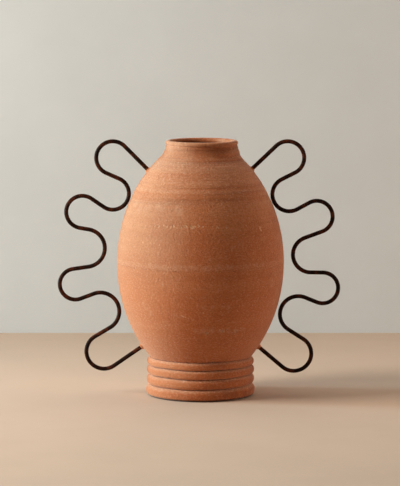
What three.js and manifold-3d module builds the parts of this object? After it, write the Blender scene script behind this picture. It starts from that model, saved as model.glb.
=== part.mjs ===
// A terracotta vase on a coil-built foot, with a wavy iron rod handle on each side.
// Sizes are in millimetres, +Z is up, and the origin is the centre of the underside.
// The vase is turned about the Z axis, and both handles lie in the plane Y = 0.
import * as THREE from "three";
import { mergeVertices } from "three/addons/utils/BufferGeometryUtils.js";
import Module from "manifold-3d";

const wasm = await Module();
wasm.setup();

// Foot: coils from the lowest up, with how far each one swells past the joint line
const footRadius = 73.5;
const footCoils = [
  { height: 17, swell: 5 },
  { height: 14.5, swell: 4 },
  { height: 13, swell: 4 },
  { height: 11.5, swell: 3.5 },
];
const floorThickness = 10;
const floorClearance = 0.3;

// Body: two thrown halves that meet at the belly
const wall = 8;
const bellyRadius = 121;
const lowerBodyHeight = 137;
const upperBodyHeight = 150;
const shoulderRadius = 62;

// Slopes of the wall at its two ends, in degrees above level
const footSlope = 51.5;
const shoulderSlope = 45.5;

// Fullness: how far the wall keeps to its end direction before it turns
const footFullness = 45.5;
const bellyFullnessBelow = 55;
const bellyFullnessAbove = 58;
const shoulderFullness = 52.5;

// Neck and rim
const neckHeight = 27;
const rimRadius = 51.5;
const lipThickness = 7;
const lipRise = 4;
const neckFlare = 7;
const neckUpright = 9;
const throatUpright = 8;

// Handles: round iron bar, whose second bend all but touches the wall
const rodDiameter = 6;
const topBendAboveShoulder = 2;
const touchGap = 0.3;

// Each handle's ends enter the wall at two heights. Its bends, from the top down, have a bend radius,
// a clear gap to the wall and a straight run to the next bend.
const leftHandle = {
  entryBelowShoulder: 15.5,
  entryAboveFoot: 14.5,
  bends: [
    { radius: 24, gap: 24.5, run: 20.5 },
    { radius: 23.5, gap: touchGap, run: 21 },
    { radius: 23.5, gap: 33, run: 13.5 },
    { radius: 27.5, gap: 15.5, run: 23 },
    { radius: 22.5, gap: 37, run: 20 },
    { radius: 27.5, gap: 4, run: 26 },
    { radius: 25.5, gap: 24 },
  ],
};
const rightHandle = {
  entryBelowShoulder: 14,
  entryAboveFoot: 14,
  bends: [
    { radius: 24, gap: 24, run: 21.5 },
    { radius: 24.5, gap: touchGap, run: 19.5 },
    { radius: 23, gap: 29.5, run: 27 },
    { radius: 26, gap: 10.5, run: 18 },
    { radius: 22.5, gap: 33.5, run: 18.5 },
    { radius: 26.5, gap: 3, run: 26 },
    { radius: 25.5, gap: 21.5 },
  ],
};

// Sockets: cups of clay mortar that bed the rod ends in holes through the wall
const beddingClearance = 0.3;
const mortarThickness = 1.2;
const collarLength = 6;
const collarTaper = 0.5;
const beadLength = 3;
const beadRounding = 2;

// Facets
const turnFacets = 48;
const wallFacets = 9;
const swellFacets = 6;
const lipFacets = 6;
const neckFacets = 5;
const rodSides = 8;
const rodSteps = 110;
const socketSides = 16;
const beadFacets = 2;

// How far a drill runs past the wall, and how many halvings find a place on the wall
const holeOvershoot = 6;
const searchSteps = 60;

// Stations along the outer face of the body, which is walked from the top down
const shoulderStation = 0;
const bellyStation = 1;
const footStation = 2;

// Sizes that follow from the ones above
const footHeight = footCoils.reduce((sum, coil) => sum + coil.height, 0);
const bellyHeight = footHeight + lowerBodyHeight;
const shoulderHeight = bellyHeight + upperBodyHeight;
const rimHeight = shoulderHeight + neckHeight;
const lipSpring = rimHeight - lipRise;
const mouthRadius = rimRadius - lipThickness;
const footTilt = THREE.MathUtils.degToRad(footSlope);
const shoulderTilt = THREE.MathUtils.degToRad(shoulderSlope);
const footBore = footRadius - wall / Math.sin(footTilt);
const shoulderBore = shoulderRadius - wall / Math.sin(shoulderTilt);
const rodRadius = rodDiameter / 2;
const socketBore = rodRadius + beddingClearance;
const socketRadius = socketBore + mortarThickness;
const holeRadius = socketRadius + beddingClearance;

const terracotta = new THREE.MeshStandardMaterial({ color: 0xc77f55, roughness: 0.92, metalness: 0 });
const mortar = new THREE.MeshStandardMaterial({ color: 0xb9714a, roughness: 0.95, metalness: 0 });
const iron = new THREE.MeshStandardMaterial({ color: 0x2e1d16, roughness: 0.55, metalness: 0.7 });

// A turned piece stands on the Y axis until it is set upright or set in the wall
const turningAxis = new THREE.Vector3(0, 1, 0);

// Outline helpers: a point has x as its radius from the axis and y as its height
function point(radius, height) {
  return new THREE.Vector2(radius, height);
}

function along(start, tilt, length) {
  return point(start.x + length * Math.cos(tilt), start.y + length * Math.sin(tilt));
}

function arc(centre, radius, rise, from, to, facets) {
  const points = [];
  for (let i = 0; i <= facets; i += 1) {
    const angle = from + ((to - from) * i) / facets;
    points.push(point(centre.x + radius * Math.cos(angle), centre.y + rise * Math.sin(angle)));
  }
  return points;
}

// Outer faces of the two halves, from the shoulder down to the foot
const shoulderPoint = point(shoulderRadius, shoulderHeight);
const bellyPoint = point(bellyRadius, bellyHeight);
const footPoint = point(footRadius, footHeight);
const upperFace = new THREE.CubicBezierCurve(
  shoulderPoint,
  along(shoulderPoint, -shoulderTilt, shoulderFullness),
  point(bellyRadius, bellyHeight + bellyFullnessAbove),
  bellyPoint,
);
const lowerFace = new THREE.CubicBezierCurve(
  bellyPoint,
  point(bellyRadius, bellyHeight - bellyFullnessBelow),
  along(footPoint, footTilt, footFullness),
  footPoint,
);

// The point at a distance outside the face, or inside it where the distance is negative
function offFace(face, t, distance) {
  const tangent = face.getTangent(t);
  return face.getPoint(t).add(point(-tangent.y, tangent.x).multiplyScalar(distance));
}

// The same on the whole body, at a station of its outer face
function offBody(station, distance) {
  if (station < bellyStation) {
    return offFace(upperFace, station - shoulderStation, distance);
  }
  return offFace(lowerFace, station - bellyStation, distance);
}

// The station below the given one where a test stops holding
function stationWhere(test, from = shoulderStation) {
  let low = from;
  let high = footStation;
  for (let i = 0; i < searchSteps; i += 1) {
    const middle = (low + high) / 2;
    if (test(middle)) {
      low = middle;
    } else {
      high = middle;
    }
  }
  return low;
}

// Turned pieces
function turned(outline, facets = turnFacets) {
  return new THREE.LatheGeometry([...outline, outline[0]], facets);
}

function coilOutline(coil, base) {
  const middle = point(footRadius, base + coil.height / 2);
  const swell = arc(middle, coil.swell, coil.height / 2, -Math.PI / 2, Math.PI / 2, swellFacets);
  return [point(footBore, base), ...swell, point(footBore, base + coil.height)];
}

function floorOutline() {
  const radius = footBore - floorClearance;
  return [point(0, 0), point(radius, 0), point(radius, floorThickness), point(0, floorThickness)];
}

function lowerOutline() {
  const outer = lowerFace.getPoints(wallFacets).reverse();
  const inner = [point(bellyRadius - wall, bellyHeight)];
  for (let i = 1; i <= wallFacets; i += 1) {
    inner.push(offFace(lowerFace, i / wallFacets, -wall));
  }
  return [...outer, ...inner, point(footBore, footHeight)];
}

function upperOutline() {
  const outer = upperFace.getPoints(wallFacets).reverse();
  const inner = [point(shoulderBore, shoulderHeight)];
  for (let i = 0; i < wallFacets; i += 1) {
    inner.push(offFace(upperFace, i / wallFacets, -wall));
  }
  return [...outer, ...inner, point(bellyRadius - wall, bellyHeight)];
}

function neckOutline() {
  const outer = new THREE.CubicBezierCurve(
    shoulderPoint,
    along(shoulderPoint, Math.PI - shoulderTilt, neckFlare),
    point(rimRadius, lipSpring - neckUpright),
    point(rimRadius, lipSpring),
  );
  const lipCentre = point((rimRadius + mouthRadius) / 2, lipSpring);
  const lip = arc(lipCentre, lipThickness / 2, lipRise, 0, Math.PI, lipFacets);
  const innerFoot = point(shoulderBore, shoulderHeight);
  const inner = new THREE.CubicBezierCurve(
    point(mouthRadius, lipSpring),
    point(mouthRadius, lipSpring - throatUpright),
    along(innerFoot, Math.PI - shoulderTilt, neckFlare),
    innerFoot,
  );
  return [...outer.getPoints(neckFacets), ...lip.slice(1, -1), ...inner.getPoints(neckFacets)];
}

// Closed solids for cutting
function solidOf(geometry) {
  const bare = geometry.clone();
  bare.deleteAttribute("normal");
  bare.deleteAttribute("uv");
  const merged = mergeVertices(bare);
  const vertProperties = Float32Array.from(merged.attributes.position.array);
  const triVerts = Uint32Array.from(merged.index.array);
  return new wasm.Manifold(new wasm.Mesh({ numProp: 3, vertProperties, triVerts }));
}

function geometryOf(solid) {
  const mesh = solid.getMesh();
  const geometry = new THREE.BufferGeometry();
  geometry.setAttribute("position", new THREE.BufferAttribute(mesh.vertProperties, 3));
  geometry.setIndex(new THREE.BufferAttribute(mesh.triVerts, 1));
  geometry.computeVertexNormals();
  return geometry;
}

// Handle routes, worked out as radius and height and then set on their side of the vase
function bendCentres(bends) {
  const reach = (bend) => bend.gap + rodRadius + bend.radius;
  const topHeight = shoulderHeight + topBendAboveShoulder;
  const above = (station) => offBody(station, reach(bends[0])).y > topHeight;
  let station = stationWhere(above);
  const centres = [offBody(station, reach(bends[0]))];
  for (let i = 1; i < bends.length; i += 1) {
    const last = centres[i - 1];
    const spacing = Math.hypot(bends[i - 1].radius + bends[i].radius, bends[i - 1].run);
    const near = (place) => offBody(place, reach(bends[i])).distanceTo(last) < spacing;
    station = stationWhere(near, station);
    centres.push(offBody(station, reach(bends[i])));
  }
  return centres;
}

// The heading of the straight run from one bend to the next, each with its turn: 1 left, -1 right, 0 none
function runHeading(from, to) {
  const step = to.centre.clone().sub(from.centre);
  const lean = Math.asin((from.turn * from.radius - to.turn * to.radius) / step.length());
  return step.angle() + lean;
}

function handleRoute({ entryBelowShoulder, entryAboveFoot, bends }) {
  const entryHeights = [shoulderHeight - entryBelowShoulder, footHeight + entryAboveFoot];
  const entries = entryHeights.map((height) => {
    const station = stationWhere((place) => offBody(place, 0).y > height);
    return { centre: offBody(station, 0), radius: 0, turn: 0, station };
  });
  const centres = bendCentres(bends);
  const stops = [entries[0]];
  bends.forEach((bend, i) => {
    stops.push({ centre: centres[i], radius: bend.radius, turn: i % 2 ? 1 : -1 });
  });
  stops.push(entries[1]);
  const headings = stops.slice(1).map((stop, i) => runHeading(stops[i], stop));
  const outward = [headings[0], headings[headings.length - 1] + Math.PI];
  const ends = entries.map((entry, i) => {
    const square = offBody(entry.station, 1).sub(entry.centre);
    const direction = point(Math.cos(outward[i]), Math.sin(outward[i]));
    const through = wall / square.dot(direction);
    const tip = entry.centre.clone().addScaledVector(direction, -through);
    return { entry: entry.centre, direction, through, tip };
  });
  const route = new THREE.Path();
  route.moveTo(ends[0].tip.x, ends[0].tip.y);
  route.lineTo(ends[0].entry.x, ends[0].entry.y);
  stops.slice(1, -1).forEach((stop, i) => {
    const quarter = (-stop.turn * Math.PI) / 2;
    const { x, y } = stop.centre;
    route.absarc(x, y, stop.radius, headings[i] + quarter, headings[i + 1] + quarter, stop.turn < 0);
  });
  route.lineTo(ends[1].tip.x, ends[1].tip.y);
  return { route, ends };
}

class RodCurve extends THREE.Curve {
  constructor(route, side) {
    super();
    this.route = route;
    this.side = side;
  }

  getPoint(t, target = new THREE.Vector3()) {
    const place = this.route.getPoint(t);
    return target.set(this.side * place.x, 0, place.y);
  }
}

// A round section gets two sides for each of its curve segments
function rodGeometry(route, side) {
  const section = new THREE.Shape();
  section.absarc(0, 0, rodRadius, 0, 2 * Math.PI);
  const extrudePath = new RodCurve(route, side);
  const curveSegments = rodSides / 2;
  return new THREE.ExtrudeGeometry(section, { steps: rodSteps, curveSegments, extrudePath });
}

// A socket stands on its Y axis, with the wall's outer face at height 0 and its collar above it
function socketGeometry(through) {
  const bottom = -through - beddingClearance;
  const tip = bottom - beadLength;
  const beadCentre = point(socketRadius - beadRounding, tip + beadRounding);
  const bead = arc(beadCentre, beadRounding, beadRounding, -Math.PI / 2, 0, beadFacets);
  const outline = [
    point(0, tip),
    ...bead,
    point(socketRadius, collarLength - collarTaper),
    point(socketRadius - collarTaper, collarLength),
    point(socketBore, collarLength),
    point(socketBore, bottom),
    point(0, bottom),
  ];
  return turned(outline, socketSides);
}

function inSpace(place, side) {
  return new THREE.Vector3(side * place.x, 0, place.y);
}

function drill(end, side) {
  const depth = end.through + 2 * holeOvershoot;
  const hole = new THREE.CylinderGeometry(holeRadius, holeRadius, depth, socketSides);
  const direction = inSpace(end.direction, side);
  hole.translate(0, -end.through / 2, 0);
  hole.applyQuaternion(new THREE.Quaternion().setFromUnitVectors(turningAxis, direction));
  hole.translate(...inSpace(end.entry, side).toArray());
  return solidOf(hole);
}

function named(name, geometry, material) {
  const mesh = new THREE.Mesh(geometry, material);
  mesh.name = name;
  return mesh;
}

// Assembly
const vase = new THREE.Group();
const clay = new THREE.Group();
const handles = new THREE.Group();
vase.add(clay, handles);

function upright(geometry) {
  return geometry.rotateX(Math.PI / 2);
}

clay.add(named("floor_slab", upright(turned(floorOutline())), terracotta));
let coilBase = 0;
footCoils.forEach((coil, i) => {
  clay.add(named(`foot_coil_${i + 1}`, upright(turned(coilOutline(coil, coilBase))), terracotta));
  coilBase += coil.height;
});

let upperSolid = solidOf(upright(turned(upperOutline())));
let lowerSolid = solidOf(upright(turned(lowerOutline())));
const sides = [
  { name: "left", side: -1, handle: leftHandle },
  { name: "right", side: 1, handle: rightHandle },
];
sides.forEach(({ name, side, handle }) => {
  const { route, ends } = handleRoute(handle);
  handles.add(named(`${name}_handle`, rodGeometry(route, side), iron));
  ["upper", "lower"].forEach((place, i) => {
    const socket = named(`${name}_${place}_socket`, socketGeometry(ends[i].through), mortar);
    socket.position.copy(inSpace(ends[i].entry, side));
    socket.quaternion.setFromUnitVectors(turningAxis, inSpace(ends[i].direction, side));
    handles.add(socket);
  });
  upperSolid = upperSolid.subtract(drill(ends[0], side));
  lowerSolid = lowerSolid.subtract(drill(ends[1], side));
});

clay.add(named("lower_body", geometryOf(lowerSolid), terracotta));
clay.add(named("upper_body", geometryOf(upperSolid), terracotta));
clay.add(named("neck_collar", upright(turned(neckOutline())), terracotta));

export default vase;
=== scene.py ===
"""Looks of a terracotta vase on a coil-built foot, with a wavy iron rod handle on each side.

Lengths are in metres, and in the tables of bends, marks and grooves in millimetres. The vase is turned about
the Z axis, and the handles lie in the plane Y = 0.
"""
import math
import random

import bpy
from mathutils import Matrix, Vector


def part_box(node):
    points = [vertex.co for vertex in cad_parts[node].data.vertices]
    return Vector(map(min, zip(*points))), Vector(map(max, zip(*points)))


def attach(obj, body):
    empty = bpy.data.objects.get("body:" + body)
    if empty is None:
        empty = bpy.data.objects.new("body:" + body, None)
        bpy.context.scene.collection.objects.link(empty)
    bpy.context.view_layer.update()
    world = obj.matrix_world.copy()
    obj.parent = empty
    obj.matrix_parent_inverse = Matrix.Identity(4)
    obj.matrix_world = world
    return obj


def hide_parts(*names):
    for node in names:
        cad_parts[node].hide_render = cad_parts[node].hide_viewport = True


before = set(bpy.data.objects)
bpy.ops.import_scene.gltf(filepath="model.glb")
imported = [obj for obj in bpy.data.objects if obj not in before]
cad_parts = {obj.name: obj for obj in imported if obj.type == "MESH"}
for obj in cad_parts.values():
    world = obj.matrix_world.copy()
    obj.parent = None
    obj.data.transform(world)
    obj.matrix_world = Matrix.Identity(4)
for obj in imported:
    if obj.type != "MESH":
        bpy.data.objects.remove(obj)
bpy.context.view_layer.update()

MM = 0.001


def side_facing(turn):
    """The level direction at a turn from the front in degrees, + to the right."""
    return (math.sin(math.radians(turn)), -math.cos(math.radians(turn)), 0)


COILS = ["foot_coil_1", "foot_coil_2", "foot_coil_3", "foot_coil_4"]

# Sizes that the frame gives
FOOT_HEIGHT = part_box("lower_body")[0].z
BELLY_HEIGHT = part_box("upper_body")[0].z
SHOULDER_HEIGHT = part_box("neck_collar")[0].z
RIM_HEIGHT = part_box("neck_collar")[1].z
BELLY_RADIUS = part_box("upper_body")[1].y
SHOULDER_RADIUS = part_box("neck_collar")[1].y
FLOOR_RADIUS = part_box("floor_slab")[1].y
FLOOR_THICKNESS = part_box("floor_slab")[1].z

# Clay: the wall, its slopes at the foot and shoulder, and how long it keeps to them
WALL = 8 * MM
FOOT_RADIUS = 73.5 * MM
FOOT_SLOPE = math.radians(51.5)
SHOULDER_SLOPE = math.radians(45.5)
FOOT_FULLNESS = 45.5 * MM
BELLY_FULLNESS_BELOW = 55 * MM
BELLY_FULLNESS_ABOVE = 58 * MM
SHOULDER_FULLNESS = 52.5 * MM

# Neck and rim
RIM_RADIUS = 52.4 * MM
RIM_TOP = RIM_HEIGHT + 0.6 * MM
LIP_THICKNESS = 8.5 * MM
LIP_RISE = 5 * MM
NECK_FLARE = 8 * MM
NECK_UPRIGHT = 11 * MM
THROAT_UPRIGHT = 8 * MM
NECK_LEAN = 1.9 * MM
RIM_TILT = math.tan(math.radians(0.5))

# Handles: each bend has a radius, a clear gap to the wall and a straight run to the next bend
ROD_RADIUS = 3 * MM
TOP_BEND_ABOVE_SHOULDER = 2 * MM
TOUCH_GAP = 0.3
HANDLES = {
    "left": {
        "side": -1,
        "below_shoulder": 15.5 * MM,
        "above_foot": 14.5 * MM,
        "bends": [
            (24, 24.5, 20.5),
            (23.5, TOUCH_GAP, 21),
            (23.5, 33, 13.5),
            (27.5, 15.5, 23),
            (22.5, 37, 20),
            (27.5, 4, 26),
            (25.5, 24, 0),
        ],
    },
    "right": {
        "side": 1,
        "below_shoulder": 14 * MM,
        "above_foot": 14 * MM,
        "bends": [
            (24, 24, 21.5),
            (24.5, TOUCH_GAP, 19.5),
            (23, 29.5, 27),
            (26, 10.5, 18),
            (22.5, 33.5, 18.5),
            (26.5, 3, 26),
            (25.5, 21.5, 0),
        ],
    },
}

# Clay beds of the rod ends
BED_CLEARANCE = 0.3 * MM
BED_THICKNESS = 1.2 * MM
BED_SPREAD = 0.8 * MM
BED_EDGE = 0.5 * MM
BED_COLLARS = {"upper": 1.8 * MM, "lower": 3.4 * MM}
BED_INSIDE = 3 * MM
BED_LUMPS = 0.6 * MM
BED_LUMP_SIZE = 4 * MM
RUST_BY_WALL = 9 * MM

# Creases between the clay pieces, with painted shade and dirt in them, painted shade where the foot meets
# the floor, and the rough band of clay that lutes the two halves of the body
CREASE_REACH_UP = 4.6 * MM
CREASE_REACH_DOWN = 1.6 * MM
CREASE_DEPTH = 1.9 * MM
CONTACT_SHADE = 1.5
BELLY_CREASE = 0.2
COIL_SWELL = 0.6 * MM
COIL_SAG = 1.6 * MM
COIL_WOBBLE = 0.5 * MM
COIL_LUMPS = 0.2 * MM
# Dust and a painted highlight on the coils' upward faces
COIL_DUST_AND_HIGHLIGHT = 0.9
SAG_FADE = 20 * MM
SAG_HELD_BELOW = 1 * MM
SAG_FREE_ABOVE = 10 * MM
CONTACT_SPREAD = 4 * MM
LUTE_RISE = 5 * MM
LUTE_WIDTH = 11 * MM
LUTE_DEPTH = 0.14 * MM

# Rows of marks on the wall: both ends, as turn in degrees from the front, + to the right, and height, then
# how many marks, their reach, how deep they are, and how pale, or how dark if under 0
MARK_SEED = 5
PIT_SEEDS = {"lower_body": 2, "upper_body": 3, "neck_collar": 4}
PIT_SEEDS |= {coil: 10 + i for i, coil in enumerate(COILS)}
MARK_STRAY = 0.4
MARK_SIZES = (0.7, 1.2)
MARK_ROWS = [
    ((-36, 255), (-20, 256), 7, 3.2, 0.45, 0.8),
    ((-19, 255), (-1, 256), 11, 3.4, 0.5, 0.95),
    ((2, 256), (18, 255), 6, 2.8, 0.4, 0.7),
    ((-44, 231.4), (-44, 231.4), 1, 2.2, 0.3, 1.4),
    ((-37, 231.7), (-30, 230), 3, 1.9, 0.25, 0.8),
    ((-54, 239), (-53, 223.6), 2, 1.7, 0.25, 0.9),
    ((48.5, 252.5), (49, 246), 8, 1.9, 0.2, 1.4),
    ((35, 255), (40, 251), 2, 1.8, 0.3, 0.8),
    ((-28, 178), (-26, 172), 2, 2.8, 0.5, 0.5),
    ((-32, 114), (-24, 114), 5, 1.4, 0.15, 0.7),
    ((5.2, 103.5), (5.2, 103.5), 1, 4.2, 0.55, 0.6),
    ((18, 106), (18, 106), 1, 4.2, 0.55, 0.8),
    ((29.4, 104.7), (29.4, 104.7), 1, 4.4, 0.6, 0.7),
    ((9, 107), (34, 108), 5, 2.8, 0.5, 0.7),
    ((-12, 108), (-2, 117), 4, 1.6, 0.4, 0.4),
    ((-14, 129), (-9, 126), 4, 1.6, 0.2, 0.8),
    ((2, 134), (27, 136), 3, 1.7, 0.2, 0.8),
    ((-36, 199), (3, 198), 11, 6.5, 0, 0.35),
    ((10, 199), (62, 200), 9, 6, 0, 0.2),
    # A soft pale row on the lit left flank: dust bloom and a painted highlight
    ((-68, 279), (-15, 279), 9, 8, 0, 0.5),
    ((-18, 129), (-11, 127), 3, 5, 0, 0.3),
    ((2, 142), (21, 142), 4, 5.5, 0, 0.3),
    ((-6, 107), (34, 107), 7, 7.5, 0, 0.35),
    # A soft pale row on the lit left flank: dust bloom and a painted highlight
    ((-46, 140), (-38, 132), 3, 6, 0, 0.3),
    ((58, 195), (68, 130), 6, 8, 0, 0.3),
    ((24, 226), (30, 236), 3, 5, 0, 0.3),
]

# Rows of marks on the foot, on the outside of the neck and in its throat, where they lie clear of the wall
FOOT_ROWS = [
    ((28, 9), (82, 9), 9, 11, 0, -0.5),
]
NECK_ROWS = [
    ((-75, 362), (-45, 362), 4, 9, 0, 0.5),
    ((-66, 344), (20, 344), 14, 7, 0, 0.5),
]
# The pale row in the throat is a painted highlight on the lit inner wall
THROAT_ROWS = [
    ((138, 364), (95, 366), 9, 13, 0, 1.2),
]
FOOT_MARK_RADIUS = 82 * MM
THROAT_MARK_RADIUS = 37 * MM

# Painted shade on the neck and in its throat: how far below the rim, the side they face, and how dark
NECK_SHADE_DROP = 9.5 * MM
NECK_SHADE_WIDTH = 19 * MM
NECK_SHADE_SIDE = side_facing(14)
THROAT_DROP = 2.5 * MM
THROAT_FADE = 5 * MM
THROAT_SIDE = side_facing(192)
NECK_SHADE = 0.55
THROAT_SHADE = 1.0

# Unevenness from throwing, with the noises' scales given per metre
SHOULDER_RINGS = 0.4 * MM
NECK_RINGS = 0.35 * MM
RING_DRIFT = 5
WOBBLES_PER_METRE = 11
SAGS_PER_METRE = 18

# Turning grooves round the neck and shoulder: drop below the rim, depth, or rise if under 0, and half width
TURNED_GROOVES = [
    (6.8, 1.0, 2.2),
    (11.5, 0.3, 1.5),
    (16.5, -0.3, 2.2),
    (21.5, 0.35, 2),
    (30.4, 0.35, 1.8),
    (38, -0.3, 2.2),
    (50, 0.3, 3.5),
    (60, -0.2, 2.5),
    (65, 0.2, 2),
    (69, -0.2, 2),
    (82, 0.35, 5),
]

# Heights between which the turning rings come in, with their share at each, and the clay turns from deeper
# to paler
THROWN = (0.24, 0.3, 0.2, 1.0)
PALER_ABOVE = (0.08, 0.3)

# Sides tinted as painted light, warmer and paler on the lit left: the turn they face, how squarely, and
# fades as two heights with the share at each
WARM_LIT_SIDES = [
    (-90, (0.1, 1.0), [(0.24, 0.14, 0.0, 1.0)]),
    (-60, (0.4, 0.9), [(FOOT_HEIGHT, 0.055, 0.0, 1.0), (0.005, 0.025, 0.0, 1.0)]),
]
PALE_LIT_SIDES = [
    (-60, (0.4, 0.9), [(0.14, 0.24, 0.0, 1.0), (0.27, 0.31, 1.0, 0.2)]),
    (-60, (0.2, 0.9), [(0.32, 0.345, 0.0, 1.0)]),
]

# Mesh spacing and rounding
MERGE_DISTANCE = 0.001 * MM
ROUGH_STEPS = 64
FACE_STEP = 1.1 * MM
INNER_STEP = 8 * MM
EDGE_EASE = 0.35 * MM
EASE_STEPS = 4
CORNER_TURN = math.radians(35)
BODY_TURNS = 512
COIL_TURNS = 448
NECK_TURNS = 400
FLOOR_TURNS = 160
BED_TURNS = 40
ROD_STEP = 1.2 * MM
ROD_SIDES = 20
SEARCH_STEPS = 60
LIP_FULLNESS = 0.75
COIL_FULLNESS_ABOVE = 1.0
COIL_FULLNESS_BELOW = 0.75

# Camera
CAMERA_PLACE = (-0.65 * MM, -3907 * MM, 642 * MM)
CAMERA_PITCH = math.radians(6.147)
CAMERA_LENS = 200.7
CAMERA_SENSOR = 36.0

# Stage
FLOOR_COLOUR = (0.6, 0.485, 0.39, 1)
# The floor darkens towards the backdrop as painted shade
FLOOR_FAR_SHADE = 0.84
FLOOR_SHADE_START = -0.1
STAGE_MOTTLE = (0.96, 1.0)
SURROUND_COLOUR = (0.58, 0.55, 0.49, 1)
WALL_COLOUR = (0.675, 0.785, 0.86, 1)
STAGE_REACH = 2.4
BACKDROP_PLACE = 0.634

# Lights: turn from the front and tilt up in degrees, distance from what they aim at, size, power and colour
LIGHTS = {
    "key": (-98, 5, 5.0, (0.7, 2.2), 285, (0.56, 0.93, 1.06)),
    "left_fill": (-74, 29, 2.4, (0.9, 1.1), 60, (1.0, 0.87, 0.74)),
    "rim": (104, 6, 1.6, (0.4, 0.7), 9.9, (1.0, 0.65, 0.43)),
    "top_fill": (180, 75, 1.5, (1.6, 0.6), 3.2, (1.0, 0.7, 0.48)),
    "front_fill": (5, 6, 2.2, (1.4, 0.6), 0.8, (1.0, 0.4, 0.2)),
}
LIGHT_AIM = (0, 0, 0.18)
AMBIENT_COLOUR = (1.0, 0.88, 0.78, 1)
AMBIENT_STRENGTH = 0.148


# Outlines: a point has x as its radius from the axis and y as its height
def along(start, tilt, length):
    return Vector((start.x + length * math.cos(tilt), start.y + length * math.sin(tilt)))


def bezier(points, t):
    a, b, c, d = points
    s = 1 - t
    return a * s**3 + b * 3 * s * s * t + c * 3 * s * t * t + d * t**3


def bezier_heading(points, t):
    a, b, c, d = points
    s = 1 - t
    return ((b - a) * s * s + (c - b) * 2 * s * t + (d - c) * t * t).normalized()


def off_face(face, t, distance):
    """The point of a face at t, moved outwards by a distance."""
    heading = bezier_heading(face, t)
    return bezier(face, t) + Vector((-heading.y, heading.x)) * distance


def sampled(curve, step):
    """Points along a curve given as a function of 0 to 1, about a step apart."""
    rough = [curve(i / ROUGH_STEPS) for i in range(ROUGH_STEPS + 1)]
    length = sum((b - a).length for a, b in zip(rough, rough[1:]))
    count = max(2, math.ceil(length / step))
    return [curve(i / count) for i in range(count + 1)]


def arc(centre, radius, rise, start, end, fullness=1.0):
    """An arc of an ellipse, and fuller than that where the fullness is under 1, as soft clay rolls over."""
    def fuller(value):
        return math.copysign(abs(value) ** fullness, value)

    def at(t):
        angle = start + (end - start) * t
        return centre + Vector((radius * fuller(math.cos(angle)), rise * fuller(math.sin(angle))))

    return at


def line(start, end):
    return lambda t: start.lerp(end, t)


shoulder = Vector((SHOULDER_RADIUS, SHOULDER_HEIGHT))
belly = Vector((BELLY_RADIUS, BELLY_HEIGHT))
foot = Vector((FOOT_RADIUS, FOOT_HEIGHT))
upper_face = (
    shoulder,
    along(shoulder, -SHOULDER_SLOPE, SHOULDER_FULLNESS),
    belly + Vector((0, BELLY_FULLNESS_ABOVE)),
    belly,
)
lower_face = (
    belly,
    belly - Vector((0, BELLY_FULLNESS_BELOW)),
    along(foot, FOOT_SLOPE, FOOT_FULLNESS),
    foot,
)
FOOT_BORE = FOOT_RADIUS - WALL / math.sin(FOOT_SLOPE)
SHOULDER_BORE = SHOULDER_RADIUS - WALL / math.sin(SHOULDER_SLOPE)


def joined(*runs):
    """One closed outline from runs of points, with the doubled ends left out."""
    points = []
    for run in runs:
        for point in run:
            if not points or (point - points[-1]).length > MERGE_DISTANCE:
                points.append(point)
    if (points[0] - points[-1]).length < MERGE_DISTANCE:
        points.pop()
    return points


def eased(outline, ease=EDGE_EASE):
    """The closed outline with each sharp corner off the axis rounded over."""
    result = []
    count = len(outline)
    for i, corner in enumerate(outline):
        before, after = outline[i - 1], outline[(i + 1) % count]
        into, out = (corner - before), (after - corner)
        if corner.x < ease or into.angle(out) < CORNER_TURN:
            result.append(corner)
            continue
        start = corner - into.normalized() * min(ease, into.length / 2)
        end = corner + out.normalized() * min(ease, out.length / 2)
        for k in range(EASE_STEPS + 1):
            t = k / EASE_STEPS
            result.append(start.lerp(corner, t).lerp(corner.lerp(end, t), t))
    return result


def lower_outline():
    outer = sampled(lambda t: bezier(lower_face, 1 - t), FACE_STEP)
    inner = sampled(lambda t: off_face(lower_face, t, -WALL), INNER_STEP)
    bore = Vector((FOOT_BORE, FOOT_HEIGHT))
    base = sampled(line(bore, foot), INNER_STEP)
    return eased(joined(outer, [inner[0]], inner, base))


def grooved(point):
    """A point of an outline, moved in or out by the turning grooves."""
    depth = 0
    for below, deep, half_width in TURNED_GROOVES:
        off = (RIM_TOP - below * MM - point.y) / (half_width * MM)
        depth += deep * MM * math.exp(-off * off)
    return point - Vector((depth, 0))


def upper_outline():
    outer = [grooved(point) for point in sampled(lambda t: bezier(upper_face, 1 - t), FACE_STEP)]
    inner = sampled(lambda t: off_face(upper_face, t, -WALL), INNER_STEP)
    bore = Vector((SHOULDER_BORE, SHOULDER_HEIGHT))
    return eased(joined(outer, [bore], inner))


def neck_outline():
    spring = RIM_TOP - LIP_RISE
    mouth = RIM_RADIUS - LIP_THICKNESS
    bore = Vector((SHOULDER_BORE, SHOULDER_HEIGHT))
    outer = (
        shoulder,
        along(shoulder, math.pi - SHOULDER_SLOPE, NECK_FLARE),
        Vector((RIM_RADIUS, spring - NECK_UPRIGHT)),
        Vector((RIM_RADIUS, spring)),
    )
    inner = (
        Vector((mouth, spring)),
        Vector((mouth, spring - THROAT_UPRIGHT)),
        along(bore, math.pi - SHOULDER_SLOPE, NECK_FLARE),
        bore,
    )
    lip_middle = Vector(((RIM_RADIUS + mouth) / 2, spring))
    lip = arc(lip_middle, LIP_THICKNESS / 2, LIP_RISE, 0, math.pi, LIP_FULLNESS)
    step = FACE_STEP / 2
    outer_run = [grooved(point) for point in sampled(lambda t: bezier(outer, t), step)]
    inner_run = sampled(lambda t: bezier(inner, t), step)
    return eased(joined(outer_run, sampled(lip, step), inner_run))


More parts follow.
